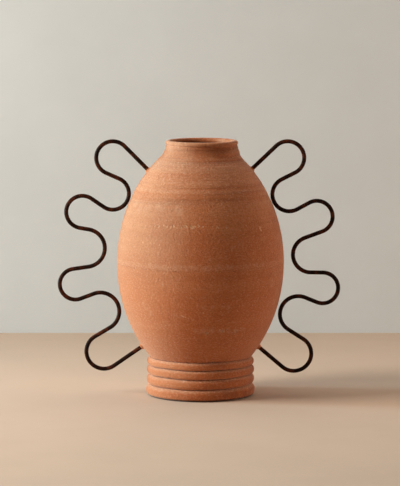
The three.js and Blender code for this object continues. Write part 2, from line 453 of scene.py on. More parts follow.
def coil_outline(node):
    low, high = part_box(node)
    half = (high.z - low.z) / 2
    middle = Vector((FOOT_RADIUS - CREASE_DEPTH, low.z + half))
    swell = high.y + COIL_SWELL - middle.x
    below = arc(middle, swell, half, -math.pi / 2, 0, COIL_FULLNESS_BELOW)
    above = arc(middle, swell, half, 0, math.pi / 2, COIL_FULLNESS_ABOVE)
    step = FACE_STEP / 2
    top = sampled(line(Vector((middle.x, high.z)), Vector((FOOT_BORE, high.z))), INNER_STEP)
    bottom = sampled(line(Vector((FOOT_BORE, low.z)), Vector((middle.x, low.z))), INNER_STEP)
    return joined(sampled(below, step), sampled(above, step), top, bottom)


def floor_outline():
    corner = Vector((FLOOR_RADIUS, FLOOR_THICKNESS))
    top = sampled(line(corner, Vector((0, FLOOR_THICKNESS))), INNER_STEP)
    bottom = sampled(line(Vector((0, 0)), Vector((FLOOR_RADIUS, 0))), INNER_STEP)
    return eased(joined(bottom, top))


def bed_outline(through, collar):
    """A cup round the rod's end: the wall's outer face is at height 0, and a thin clay collar above it."""
    bore = ROD_RADIUS + BED_CLEARANCE
    outside = bore + BED_THICKNESS
    bottom = -through - BED_CLEARANCE
    corners = [
        Vector((0, bottom - BED_INSIDE)),
        Vector((outside, bottom - BED_INSIDE)),
        Vector((outside + BED_SPREAD, -BED_SPREAD)),
        Vector((bore + BED_EDGE, collar)),
        Vector((bore, collar)),
        Vector((bore, bottom)),
        Vector((0, bottom)),
    ]
    runs = [sampled(line(a, b), FACE_STEP / 2) for a, b in zip(corners, corners[1:])]
    return eased(joined(*runs), BED_EDGE)


# Stations on the body's outer face, from the shoulder, 0, over the belly, 1, to the foot, 2
def off_body(station, distance):
    if station < 1:
        return off_face(upper_face, station, distance)
    return off_face(lower_face, station - 1, distance)


def station_where(test, low=0.0):
    """The last station, from the low one on, where the test holds."""
    high = 2.0
    for _ in range(SEARCH_STEPS):
        middle = (low + high) / 2
        if test(middle):
            low = middle
        else:
            high = middle
    return low


def wall_radius(height):
    return off_body(station_where(lambda s: off_body(s, 0).y > height), 0).x


# Creases and marks
# Creases darkened by painted shade, each a place and the strength of its shade, with the foot on the floor
# and the belly joint
CREASES = [(Vector((FOOT_RADIUS - CREASE_DEPTH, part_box(coil)[1].z)), 1.0) for coil in COILS]
CREASES.append((Vector((FOOT_RADIUS + CONTACT_SPREAD, 0)), CONTACT_SHADE))
CREASES.append((belly, BELLY_CREASE))


def crevice(point):
    """How deep a point of an outline lies in a crease, 1 in its bottom and 0 outside it, for painted shade
    and dirt.
    """
    deepest = 0
    for crease, strength in CREASES:
        reach = CREASE_REACH_UP if point.y > crease.y else CREASE_REACH_DOWN
        deepest = max(deepest, strength * (1 - (point - crease).length / reach))
    return deepest


def marks_along(rows, radius_at):
    """Every mark of the rows, each a little out of line and of its own size."""
    chance = random.Random(MARK_SEED)
    marks = []
    for start, end, count, reach, depth, pale in rows:
        for i in range(count):
            turn, height = Vector(start).lerp(Vector(end), i / max(1, count - 1))
            stray = reach * MARK_STRAY * (count > 1)
            angle = math.radians(turn + chance.uniform(-stray, stray))
            height = (height + chance.uniform(-stray, stray)) * MM
            radius = radius_at(height)
            place = Vector((radius * math.sin(angle), -radius * math.cos(angle), height))
            size = chance.uniform(*MARK_SIZES)
            mark = {"place": place, "reach": reach * size * MM, "depth": depth * size * MM, "pale": pale}
            marks.append({**mark, "soft": float(depth == 0)})
    return marks


# Handle routes
def bend_centres(bends):
    """Centres of the bends, walked down the body from the shoulder."""
    def reach(bend):
        return bend[1] * MM + ROD_RADIUS + bend[0] * MM

    top = SHOULDER_HEIGHT + TOP_BEND_ABOVE_SHOULDER
    station = station_where(lambda s: off_body(s, reach(bends[0])).y > top)
    centres = [off_body(station, reach(bends[0]))]
    for last, bend in zip(bends, bends[1:]):
        spacing = math.hypot(last[0] + bend[0], last[2]) * MM
        here = centres[-1]
        station = station_where(lambda s: (off_body(s, reach(bend)) - here).length < spacing, station)
        centres.append(off_body(station, reach(bend)))
    return centres


def run_heading(start, end):
    """Heading of the straight run between two stops, each a centre, a radius and a turn of 1, -1 or 0."""
    step = end[0] - start[0]
    lean = math.asin((start[2] * start[1] - end[2] * end[1]) / step.length)
    return math.atan2(step.y, step.x) + lean


def unit(angle):
    return Vector((math.cos(angle), math.sin(angle)))


def handle_route(handle):
    """The rod's centre line as radius and height, and its two ends: entry, outward direction, depth."""
    heights = (SHOULDER_HEIGHT - handle["below_shoulder"], FOOT_HEIGHT + handle["above_foot"])
    stations = [station_where(lambda s: off_body(s, 0).y > height) for height in heights]
    entries = [off_body(station, 0) for station in stations]
    bends = handle["bends"]
    turns = [(1 if i % 2 else -1) for i in range(len(bends))]
    arcs = [(c, b[0] * MM, t) for c, b, t in zip(bend_centres(bends), bends, turns)]
    stops = [(entries[0], 0, 0), *arcs, (entries[1], 0, 0)]
    headings = [run_heading(a, b) for a, b in zip(stops, stops[1:])]
    ends = []
    for station, entry, angle in zip(stations, entries, (headings[0], headings[-1] + math.pi)):
        outward = unit(angle)
        square = off_body(station, 1) - entry
        ends.append((entry, outward, WALL / square.dot(outward)))
    tips = [entry - outward * depth for entry, outward, depth in ends]
    curves = [[tips[0]]]
    for (centre, radius, turn), start, end in zip(arcs, headings, headings[1:]):
        sweep = ((end - start) * turn) % (2 * math.pi)
        quarter = -turn * math.pi / 2
        curve = arc(centre, radius, radius, start + quarter, start + quarter + turn * sweep)
        curves.append(sampled(curve, ROD_STEP))
    curves.append([tips[1]])
    points = curves[0]
    for curve in curves[1:]:
        points = points + sampled(line(points[-1], curve[0]), ROD_STEP)[1:-1] + curve
    return points, ends


# Node trees
class NodeWork:
    """Short calls that add nodes to one tree and join them up."""

    def __init__(self, tree):
        self.tree = tree

    def node(self, kind, feeds=(), **settings):
        made = self.tree.nodes.new(kind)
        for name, value in settings.items():
            setattr(made, name, value)
        self.feed_all(made, dict(feeds))
        return made

    def feed_all(self, node, feeds):
        for key, value in feeds.items():
            self.feed(node.inputs[key], value)

    def feed(self, socket, value):
        if isinstance(value, bpy.types.Node):
            value = value.outputs[0]
        if isinstance(value, bpy.types.NodeSocket):
            self.tree.links.new(value, socket)
        else:
            socket.default_value = value

    def math(self, operation, a, b=0.0, clamp=False):
        return self.node("ShaderNodeMath", {0: a, 1: b}, operation=operation, use_clamp=clamp).outputs[0]

    def times(self, *values, clamp=False):
        product = values[0]
        for value in values[1:]:
            product = self.math("MULTIPLY", product, value, clamp)
        return product

    def plus(self, *values):
        total = values[0]
        for value in values[1:]:
            total = self.math("ADD", total, value)
        return total

    def minus(self, a, b):
        return self.math("SUBTRACT", a, b)

    def vector(self, operation, a, b=(0, 0, 0)):
        return self.node("ShaderNodeVectorMath", {0: a, 1: b}, operation=operation).outputs["Vector"]

    def axis(self, vector, name):
        return self.node("ShaderNodeSeparateXYZ", {0: vector}).outputs[name]

    def scaled(self, vector, amount):
        feeds = {0: vector, "Scale": amount}
        return self.node("ShaderNodeVectorMath", feeds, operation="SCALE").outputs["Vector"]

    def toward(self, a, b, low, high):
        """How squarely two directions agree, from 0 where their cosine is low to 1 where it is high."""
        feeds = {0: a, 1: b}
        cosine = self.node("ShaderNodeVectorMath", feeds, operation="DOT_PRODUCT").outputs["Value"]
        return self.ramp(cosine, low, high)

    def length(self, vector):
        return self.node("ShaderNodeVectorMath", {0: vector}, operation="LENGTH").outputs["Value"]

    def noise(self, place, scale, detail=2.0, roughness=0.5):
        feeds = {"Vector": place, "Scale": scale, "Detail": detail, "Roughness": roughness}
        return self.node("ShaderNodeTexNoise", feeds).outputs["Fac"]

    def ramp(self, value, low, high, to_low=0.0, to_high=1.0):
        feeds = {"Value": value, "From Min": low, "From Max": high, "To Min": to_low, "To Max": to_high}
        return self.node("ShaderNodeMapRange", feeds, interpolation_type="SMOOTHSTEP").outputs["Result"]

    def colour_mix(self, factor, a, b, blend_type="MIX"):
        feeds = {0: factor, 6: a, 7: b}
        return self.node("ShaderNodeMix", feeds, data_type="RGBA", blend_type=blend_type).outputs[2]

    def named(self, name):
        made = self.node("GeometryNodeInputNamedAttribute", {"Name": name}, data_type="FLOAT")
        return made.outputs["Attribute"]

    def stored(self, geometry, name, value):
        feeds = {"Geometry": geometry, "Name": name, "Value": value}
        return self.node("GeometryNodeStoreNamedAttribute", feeds, data_type="FLOAT", domain="POINT")

    def shaped(self, geometry, offset, finish):
        """The geometry with its points moved, shaded smooth and given its finish."""
        moved = self.node("GeometryNodeSetPosition", {"Geometry": geometry, "Offset": offset})
        smooth = self.node("GeometryNodeSetShadeSmooth", {"Geometry": moved})
        whole = self.node("GeometryNodeRealizeInstances", {"Geometry": smooth})
        return self.node("GeometryNodeSetMaterial", {"Geometry": whole, "Material": finish})

    def bump(self, height, strength, distance):
        return self.node("ShaderNodeBump", {"Strength": strength, "Distance": distance, "Height": height})

    def painted(self, name):
        return self.node("ShaderNodeAttribute", attribute_name=name).outputs["Fac"]

    def group(self, tree, **feeds):
        made = self.node("ShaderNodeGroup", node_tree=tree)
        for name, value in feeds.items():
            self.feed(made.inputs[name.replace("_", " ").title()], value)
        return made


def new_tree(kind, name, inputs, outputs):
    """A node tree with named sockets: inputs as name, type and value, and outputs as name and type."""
    tree = bpy.data.node_groups.new(name, kind)

    def new_socket(socket_name, socket_type, in_out):
        return tree.interface.new_socket(socket_name, in_out=in_out, socket_type="NodeSocket" + socket_type)

    for socket_name, socket_type, value in inputs:
        socket = new_socket(socket_name, socket_type, "INPUT")
        if value is not None:
            socket.default_value = value
    for socket_name, socket_type in outputs:
        new_socket(socket_name, socket_type, "OUTPUT")
    work = NodeWork(tree)
    return work, work.node("NodeGroupInput").outputs, work.node("NodeGroupOutput").inputs


def turned_clay_tree():
    """An outline in the XZ plane, turned about the Z axis and marked by the hands that threw it.

    The loose points that come with the outline are marks: those with a depth are chips, the rest are bloom,
    in some rows a painted highlight.
    """
    work, given, result = new_tree(
        "GeometryNodeTree",
        "turned_clay",
        [
            ("Outline", "Geometry", None),
            ("Turns", "Int", 256),
            ("Wobble", "Float", 0.2 * MM),
            ("Lean", "Float", 0.0),
            ("Tilt", "Float", 0.0),
            ("Lean Start", "Float", 0.3),
            ("Lean Full", "Float", 0.4),
            ("Ring Depth", "Float", 0.25 * MM),
            ("Ring Pitch", "Float", 7 * MM),
            ("Ring Start", "Float", 0.2),
            ("Ring Full", "Float", 0.3),
            ("Band Height", "Float", 0.2),
            ("Band Width", "Float", 10 * MM),
            ("Band Depth", "Float", 0.0),
            ("Lump Depth", "Float", 0.1 * MM),
            ("Lump Size", "Float", 5 * MM),
            ("Pits Per Area", "Float", 1000.0),
            ("Pit Size", "Float", 2 * MM),
            ("Pit Depth", "Float", 0.3 * MM),
            ("Tear", "Float", 2 * MM),
            ("Sag", "Float", 0.0),
            ("Sag Height", "Float", 0.06),
            ("Ledge Dust", "Float", 0.5),
            ("Damp", "Float", 0.0),
            ("Damp Side", "Vector", (0, -1, 0)),
            ("Throat Shade", "Float", 0.0),
            ("Throat Side", "Vector", (0, 1, 0)),
            ("Throat Top", "Float", 0.4),
            ("Seed", "Int", 1),
            ("Finish", "Material", None),
        ],
        [("Clay", "Geometry")],
    )
    # The outline swept round the axis
    path_radius = 10 * MM
    curve = work.node("GeometryNodeMeshToCurve", {"Mesh": given["Outline"]})
    flat = {"Geometry": curve, "Translation": (-path_radius, 0, 0), "Rotation": (math.pi / 2, 0, 0)}
    section = work.node("GeometryNodeTransform", flat)
    circle = {"Resolution": given["Turns"], "Radius": path_radius}
    path = work.node("GeometryNodeCurvePrimitiveCircle", circle)
    level = work.node("GeometryNodeSetCurveNormal", {"Curve": path}, mode="Z_UP")
    swept = work.node("GeometryNodeCurveToMesh", {"Curve": level, "Profile Curve": section})
    closed = work.node("GeometryNodeMergeByDistance", {"Geometry": swept, "Distance": MERGE_DISTANCE})

    place = work.node("GeometryNodeInputPosition").outputs[0]
    normal = work.node("GeometryNodeInputNormal").outputs[0]
    radial = work.vector("NORMALIZE", work.vector("MULTIPLY", place, (1, 1, 0)))
    height = work.axis(place, "Z")

    def swing(value, depth):
        return work.times(work.minus(value, 0.5), work.times(depth, 2))

    # Wobble, rings and lumps
    wobble = swing(work.noise(place, WOBBLES_PER_METRE, 0), given["Wobble"])
    per_pitch = work.math("DIVIDE", 1, given["Ring Pitch"])
    stretch = work.node("ShaderNodeCombineXYZ", {0: RING_DRIFT, 1: RING_DRIFT, 2: per_pitch})
    rings = swing(work.noise(work.vector("MULTIPLY", place, stretch), 1, 2), given["Ring Depth"])
    rings = work.times(rings, work.ramp(height, given["Ring Start"], given["Ring Full"]))
    lump_noise = {"Vector": place, "Scale": work.math("DIVIDE", 1, given["Lump Size"]), "Detail": 3}
    uneven = work.node("ShaderNodeTexNoise", lump_noise)
    lumps = swing(uneven.outputs["Fac"], given["Lump Depth"])

    # A rough band at one height
    off_band = work.math("ABSOLUTE", work.minus(height, given["Band Height"]))
    half_band = work.times(given["Band Width"], 0.5)
    in_band = work.ramp(off_band, half_band, work.times(half_band, 0.4))
    rough = work.plus(work.noise(place, work.math("DIVIDE", 2, given["Lump Size"]), 2), 0.2)
    band = work.times(in_band, rough, given["Band Depth"])

    # Pits, chips and bloom
    scatter = {"Mesh": closed, "Density": given["Pits Per Area"], "Seed": given["Seed"]}
    pits = work.node("GeometryNodeDistributePointsOnFaces", scatter)
    nearest = work.node("GeometryNodeProximity", {"Geometry": pits}, target_element="POINTS")
    bowl = work.ramp(nearest.outputs["Distance"], 0, given["Pit Size"], 1, 0)
    hollow = work.times(bowl, given["Pit Depth"])

    torn = work.scaled(work.vector("SUBTRACT", uneven.outputs["Color"], (0.5, 0.5, 0.5)), given["Tear"])
    torn_place = work.vector("ADD", place, torn)

    def marks(selection):
        """How near each point is to its nearest mark, with that mark's depth and paleness."""
        chosen = {"Geometry": given["Outline"], "Selection": selection}
        points = work.node("GeometryNodeSeparateGeometry", chosen).outputs["Selection"]
        index = work.node("GeometryNodeSampleNearest", {"Geometry": points, "Sample Position": torn_place})

        def of_mark(value, data_type="FLOAT"):
            feeds = {"Geometry": points, "Value": value, "Index": index}
            return work.node("GeometryNodeSampleIndex", feeds, data_type=data_type).outputs[0]

        away = work.length(work.vector("SUBTRACT", torn_place, of_mark(place, "FLOAT_VECTOR")))
        reach = work.math("MAXIMUM", of_mark(work.named("reach")), MERGE_DISTANCE)
        near = work.ramp(work.math("DIVIDE", away, reach), 1.0, 0.2)
        return near, of_mark(work.named("depth")), of_mark(work.named("pale"))

    near_chip, chip_depth, chip_pale = marks(work.named("depth"))
    core = work.ramp(near_chip, 0.5, 0.95)
    rim = work.minus(work.ramp(near_chip, 0.05, 0.5), core)
    sunk = work.minus(core, work.times(rim, 0.4))
    hollow = work.plus(hollow, work.times(sunk, chip_depth))
    bloom, _, bloom_pale = marks(work.named("soft"))

    # Stains, dust, painted highlight and painted shade that the finish reads
    # Pale on faces that look up: dust and a painted highlight
    facing_up = work.axis(normal, "Z")
    ledge = work.times(work.ramp(facing_up, 0.25, 0.85), given["Ledge Dust"])
    kept = work.stored(closed, "ledge", ledge)
    kept = work.stored(kept, "chip", work.times(near_chip, chip_pale))
    kept = work.stored(kept, "pit", work.times(core, work.math("DIVIDE", chip_depth, MM)))
    kept = work.stored(kept, "bloom", work.times(bloom, bloom_pale))

    # Painted shade in a band round the neck on its front right, and inside the throat on its far wall below
    # the lip
    damp = work.times(in_band, work.toward(radial, given["Damp Side"], 0.65, 0.98), given["Damp"])
    throat_full = work.minus(given["Throat Top"], THROAT_FADE)
    below_lip = work.ramp(height, given["Throat Top"], throat_full)
    inner_face = work.toward(normal, radial, -0.2, -0.7)
    far_side = work.toward(radial, given["Throat Side"], 0.45, 0.85)
    throat = work.times(inner_face, below_lip, far_side, given["Throat Shade"])
    kept = work.stored(kept, "damp", work.math("MAXIMUM", damp, throat))
    luted = work.math("GREATER_THAN", given["Band Depth"])
    kept = work.stored(kept, "lute", work.times(in_band, luted))

    # All of it added up
    relief = work.minus(work.plus(rings, lumps, band), hollow)
    shift = work.vector("ADD", work.scaled(radial, wobble), work.scaled(normal, relief))
    leaning = work.ramp(height, given["Lean Start"], given["Lean Full"])
    to_back = work.axis(place, "Y")
    rise = work.times(to_back, given["Tilt"])
    lean = work.scaled(work.node("ShaderNodeCombineXYZ", {0: given["Lean"], 2: rise}), leaning)
    shift = work.vector("ADD", shift, lean)
    sag_end = work.plus(given["Sag Height"], SAG_FADE)
    sag_fade = work.ramp(height, sag_end, given["Sag Height"])
    sag_fade = work.times(sag_fade, work.ramp(height, SAG_HELD_BELOW, SAG_FREE_ABOVE))
    sag = work.times(swing(work.noise(place, SAGS_PER_METRE, 1), given["Sag"]), sag_fade)
    shift = work.vector("ADD", shift, work.node("ShaderNodeCombineXYZ", {2: sag}))
    work.feed(result["Clay"], work.shaped(kept, shift, given["Finish"]))
    return work.tree


def bent_rod_tree():
    """A round bar along a route, with the slight unevenness of forged iron."""
    work, given, result = new_tree(
        "GeometryNodeTree",
        "bent_rod",
        [
            ("Route", "Geometry", None),
            ("Radius", "Float", 3 * MM),
            ("Sides", "Int", 16),
            ("Scale Depth", "Float", 0.05 * MM),
            ("Scale Size", "Float", 6 * MM),
            ("Finish", "Material", None),
        ],
        [("Rod", "Geometry")],
    )
    curve = work.node("GeometryNodeMeshToCurve", {"Mesh": given["Route"]})
    section = {"Resolution": given["Sides"], "Radius": given["Radius"]}
    bar = work.node("GeometryNodeCurvePrimitiveCircle", section)
    swept = work.node("GeometryNodeCurveToMesh", {"Curve": curve, "Profile Curve": bar, "Fill Caps": True})
    place = work.node("GeometryNodeInputPosition")
    normal = work.node("GeometryNodeInputNormal")
    uneven = work.noise(place, work.math("DIVIDE", 1, given["Scale Size"]), 2)
    depth = work.times(work.minus(uneven, 0.5), given["Scale Depth"])
    work.feed(result["Rod"], work.shaped(swept, work.scaled(normal, depth), given["Finish"]))
    return work.tree


def grain_group():
    """Sand in fired clay or scale on iron: light flecks, dark pores and a height."""
    work, given, result = new_tree(
        "ShaderNodeTree",
        "sandy_grain",
        [("Place", "Vector", None), ("Grain Size", "Float", 2 * MM)],
        [("Fleck", "Float"), ("Pore", "Float"), ("Height", "Float")],
    )
    scale = work.math("DIVIDE", 1, given["Grain Size"])
    coarse = work.noise(given["Place"], scale, 2, 0.6)
    fine = work.noise(given["Place"], work.times(scale, 1.7), 2, 0.6)
    both = work.times(work.plus(coarse, fine), 0.5)
    work.feed(result["Fleck"], work.ramp(both, 0.5, 0.65))
    work.feed(result["Pore"], work.ramp(both, 0.5, 0.35))
    work.feed(result["Height"], both)
    return work.tree


def ring_group():
    """Level rings left by turning, drifting slowly round the piece."""
    work, given, result = new_tree(
        "ShaderNodeTree",
        "turning_rings",
        [("Place", "Vector", None), ("Pitch", "Float", 4 * MM), ("Drift", "Float", 6.0)],
        [("Ring", "Float")],
    )
    level = work.math("DIVIDE", 1, given["Pitch"])
    stretch = work.node("ShaderNodeCombineXYZ", {0: given["Drift"], 1: given["Drift"], 2: level})
    place = work.vector("MULTIPLY", given["Place"], stretch)
    work.feed(result["Ring"], work.noise(place, 1, 3, 0.55))
    return work.tree


def bloom_group():
    """Pale dusty bloom in soft patches, broken up at their edges."""
    work, given, result = new_tree(
        "ShaderNodeTree",
        "dusty_bloom",
        [
            ("Place", "Vector", None),
            ("Patch Size", "Float", 30 * MM),
            ("Flatness", "Float", 2.0),
            ("Cover", "Float", 0.5),
        ],
        [("Bloom", "Float")],
    )
    stretch = work.node("ShaderNodeCombineXYZ", {0: 1, 1: 1, 2: given["Flatness"]})
    place = work.vector("MULTIPLY", given["Place"], stretch)
    scale = work.math("DIVIDE", 1, given["Patch Size"])
    patches = work.noise(place, scale, 4, 0.6)
    low = work.minus(0.85, work.times(given["Cover"], 0.6))
    bloom = work.ramp(patches, low, work.plus(low, 0.25))
    work.feed(result["Bloom"], bloom)
    return work.tree


turned_clay = turned_clay_tree()
bent_rod = bent_rod_tree()
sandy_grain = grain_group()
turning_rings = ring_group()
dusty_bloom = bloom_group()


# Finishes
def new_material(name):
    material = bpy.data.materials.new(name)
    material.use_nodes = True
    material.node_tree.nodes.clear()
    work = NodeWork(material.node_tree)
    shader = work.node("ShaderNodeBsdfPrincipled")
    work.node("ShaderNodeOutputMaterial", {"Surface": shader})
    place = work.node("ShaderNodeTexCoord").outputs["Object"]
    return material, work, shader, place


CLAY_DEEP = (0.47, 0.132, 0.039, 1)
CLAY_MID = (0.53, 0.18, 0.063, 1)
CLAY_PALE = (0.61, 0.295, 0.15, 1)
CLAY_DUST = (0.70, 0.45, 0.3, 1)
# The next two colours paint light on the lit left side, paler higher up and warmer lower down
CLAY_LIT_PALE = (0.55, 0.41, 0.27, 1)
CLAY_LIT_WARM = (0.8, 0.4, 0.19, 1)
CLAY_CHIP = (0.68, 0.38, 0.22, 1)
# The pore colour darkens the pores and rings, and paints shade into the dents and creases
CLAY_PORE_AND_SHADE = (0.31, 0.1, 0.036, 1)
# The dark patch colour paints shade on the neck and in the throat, and darkens marks whose paleness is under
# 0
CLAY_DARK_PATCH = (0.25, 0.065, 0.018, 1)
# The crease colour paints the deepest shade, with dirt, along the creases and deep in the throat
DEEP_SHADE_AND_DIRT = (0.07, 0.03, 0.015, 1)
DRY_CLAY = {
    "Specular IOR Level": 0.25,
    "Sheen Weight": 0.25,
    "Sheen Roughness": 0.4,
    "Sheen Tint": (1.0, 0.98, 0.95, 1),
}


def terracotta():
    material, work, shader, place = new_material("fired_terracotta")
    height = work.axis(place, "Z")
    outward = work.vector("NORMALIZE", work.vector("MULTIPLY", place, (1, 1, 0)))
    wiped = work.vector("MULTIPLY", place, (1, 1, 1.5))
    fleck, pore, grain = work.group(sandy_grain, place=wiped, grain_size=3.2 * MM).outputs
    rings = work.group(turning_rings, place=place, pitch=6 * MM, drift=4.0)
    fine_rings = work.group(turning_rings, place=place, pitch=2.2 * MM, drift=7.0)
    broad_rings = work.group(turning_rings, place=place, pitch=14 * MM, drift=3.0)
    patches = work.group(dusty_bloom, place=place, patch_size=45 * MM, flatness=1.6, cover=0.6)
    thrown = work.ramp(height, *THROWN)
    paler_above = work.ramp(height, *PALER_ABOVE)

    def ringed(turned_rings, low, high):
        return work.times(work.ramp(turned_rings, low, high), thrown)

    def share_of(sides):
        """How far a place lies on any of the sides tinted as painted light."""
        most = 0.0
        for turn, squarely, fades in sides:
            share = work.toward(outward, side_facing(turn), *squarely)
            for fade in fades:
                share = work.times(share, work.ramp(height, *fade))
            most = work.math("MAXIMUM", most, share)
        return most

    bloom = work.painted("bloom")
    damp = work.painted("damp")
    crease = work.painted("crevice")
    sandy = work.plus(fleck, 0.35)
    veil = work.plus(work.times(fleck, 0.4), 0.5)
    broken = work.times(work.minus(grain, 0.5), 1.5)
    chips = work.ramp(work.plus(work.painted("chip"), broken), 0.2, 0.7)
    dents = work.ramp(work.minus(work.painted("pit"), broken), 0.15, 0.75)
    grit = work.times(work.minus(pore, 0.3), 0.5)
    # Painted shade and dirt along the bottoms of the creases, broken up by grit
    shade_and_dirt = work.ramp(work.plus(crease, grit), 0.1, 0.8)
    shade_and_dirt = work.times(shade_and_dirt, work.ramp(crease, 0.0, 0.3))

    # Layers from the clay up, each as where it lies, how strong it is and its colour
    layers = [
        (work.times(patches, paler_above), 0.35, CLAY_PALE),
        (ringed(rings, 0.5, 0.75), 0.4, CLAY_PALE),
        (ringed(rings, 0.5, 0.25), 0.4, CLAY_PORE_AND_SHADE),
        (ringed(broad_rings, 0.48, 0.68), 0.45, CLAY_PALE),
        (ringed(broad_rings, 0.48, 0.3), 0.7, CLAY_PORE_AND_SHADE),
        (ringed(fine_rings, 0.55, 0.8), 0.2, CLAY_DUST),
        (fleck, 0.32, CLAY_DUST),
        (pore, 0.58, CLAY_PORE_AND_SHADE),
        # Painted light on the lit left side: warmer lower down, paler higher up
        (share_of(WARM_LIT_SIDES), 0.2, CLAY_LIT_WARM),
        (share_of(PALE_LIT_SIDES), 0.24, CLAY_LIT_PALE),
        (work.times(work.painted("lute"), sandy), 0.2, CLAY_DUST),
        # Pale bloom: dust, and a painted highlight in the rows on the lit left flank and in the throat
        (work.times(bloom, veil), 0.8, CLAY_DUST),
        (bloom, -1.0, CLAY_DARK_PATCH),
        # Painted shade on the neck and inside the throat, darkest deep in the throat
        (damp, 1.0, CLAY_DARK_PATCH),
        (work.ramp(damp, 0.65, 1.0), 0.8, DEEP_SHADE_AND_DIRT),
        # Pale on upward faces: dust and a painted highlight
        (work.times(work.painted("ledge"), sandy), 1.0, CLAY_DUST),
        (chips, 0.9, CLAY_CHIP),
        # Painted shade in the dents
        (dents, 0.6, CLAY_PORE_AND_SHADE),
        # Painted shade round the creases, then painted shade and dirt along their bottoms
        (crease, 0.6, CLAY_PORE_AND_SHADE),
        (shade_and_dirt, 0.9, DEEP_SHADE_AND_DIRT),
    ]
    tone = work.ramp(work.noise(place, 12, 4, 0.6), 0.35, 0.65)
    colour = work.colour_mix(work.times(tone, paler_above), CLAY_DEEP, CLAY_MID)
    for share, strength, tint in layers:
        colour = work.colour_mix(work.times(share, strength, clamp=True), colour, tint)

    relief = work.times(work.plus(rings, fine_rings), thrown)
    relief = work.plus(work.times(grain, 1.8), relief)
    relief = work.minus(relief, work.times(dents, 0.35))
    work.feed_all(shader, {
        "Base Color": colour,
        "Roughness": work.ramp(patches, 0.0, 1.0, 0.8, 0.95),
        "Diffuse Roughness": 0.2,
        "Normal": work.bump(relief, 1.0, 1.05 * MM),
        **DRY_CLAY,
    })
    return material


def clay_mortar():
    material, work, shader, place = new_material("clay_mortar")
    fleck, pore, grain = work.group(sandy_grain, place=place, grain_size=1.5 * MM).outputs
    colour = work.colour_mix(fleck, CLAY_MID, CLAY_DUST)
    colour = work.colour_mix(work.times(pore, 0.6), colour, CLAY_PORE_AND_SHADE)
    bump = work.bump(grain, 0.6, 0.4 * MM)
    work.feed_all(shader, {"Base Color": colour, "Roughness": 0.95, "Normal": bump, **DRY_CLAY})
    return material


IRON_SCALE = (0.012, 0.0045, 0.0025, 1)
IRON_RUST = (0.12, 0.03, 0.011, 1)
RUST_CRUST = (0.2, 0.065, 0.025, 1)


def rusted_iron():
    material, work, shader, place = new_material("blackened_iron")
    bloom = work.group(dusty_bloom, place=place, patch_size=9 * MM, flatness=1.0, cover=0.7)
    fleck, _, grain = work.group(sandy_grain, place=place, grain_size=2.5 * MM).outputs
    rust = work.times(bloom, work.plus(fleck, 0.5), clamp=True)
    colour = work.colour_mix(rust, IRON_SCALE, IRON_RUST)
    patchy = work.times(fleck, 0.5)
    crust = work.ramp(work.plus(work.painted("crevice"), patchy), 0.5, 1.0)
    work.feed_all(shader, {
        "Base Color": work.colour_mix(crust, colour, RUST_CRUST),
        "Roughness": work.ramp(rust, 0.0, 0.8, 0.5, 0.85),
        "Specular IOR Level": 0.08,
        "Normal": work.bump(grain, 0.5, 0.25 * MM),
    })
    return material


fired = terracotta()
mortar = clay_mortar()
iron = rusted_iron()


# Pieces
def new_object(name, data):
    made = bpy.data.objects.new(name, data)
    bpy.context.scene.collection.objects.link(made)
    return made


def line_mesh(name, points, closed, crevices, marks=()):
    """A mesh of edges only, through points given as radius and height, with loose points for the marks.

    An outline that meets the axis stays open there, so that turning it leaves no edge on the axis.
    """
    mesh = bpy.data.meshes.new(name)
    edges = [(i, i + 1) for i in range(len(points) - 1)]
    if closed:
        edges.append((len(points) - 1, 0))
    edges = [(i, j) for i, j in edges if points[i].x or points[j].x]
    mesh.from_pydata([(p.x, 0, p.y) for p in points] + [mark["place"] for mark in marks], edges, [])
    values = {"crevice": crevices + [0] * len(marks)}
    for key in ("reach", "depth", "pale", "soft"):
        values[key] = [0] * len(points) + [mark[key] for mark in marks]
    for key, numbers in values.items():
        mesh.attributes.new(key, "FLOAT", "POINT").data.foreach_set("value", numbers)
    return mesh


def made_by(tree, name, base, **inputs):
    """A new object whose plain mesh is what the tree makes of the base mesh."""
    piece = new_object(name, base)
    modifier = piece.modifiers.new(tree.name, "NODES")
    modifier.node_group = tree
    for socket in tree.interface.items_tree:
        key = socket.name.lower().replace(" ", "_")
        if socket.in_out == "INPUT" and key in inputs:
            modifier[socket.identifier] = inputs[key]
    graph = bpy.context.evaluated_depsgraph_get()
    mesh = bpy.data.meshes.new_from_object(
        piece.evaluated_get(graph), preserve_all_data_layers=True, depsgraph=graph
    )
    piece.modifiers.remove(modifier)
    piece.data = mesh
    bpy.data.meshes.remove(base)
    mesh.name = name
    return piece


def settled(piece, node):
    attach(piece, "root")
    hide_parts(node)


def turned(node, outline, marks=(), **inputs):
    """A clay piece turned from its outline, settled in place of its node."""
    outline = outline[::-1]
    base = line_mesh(node, outline, True, [crevice(point) for point in outline], marks)
    piece = made_by(turned_clay, node + "_clay", base, finish=fired, **inputs)
    settled(piece, node)


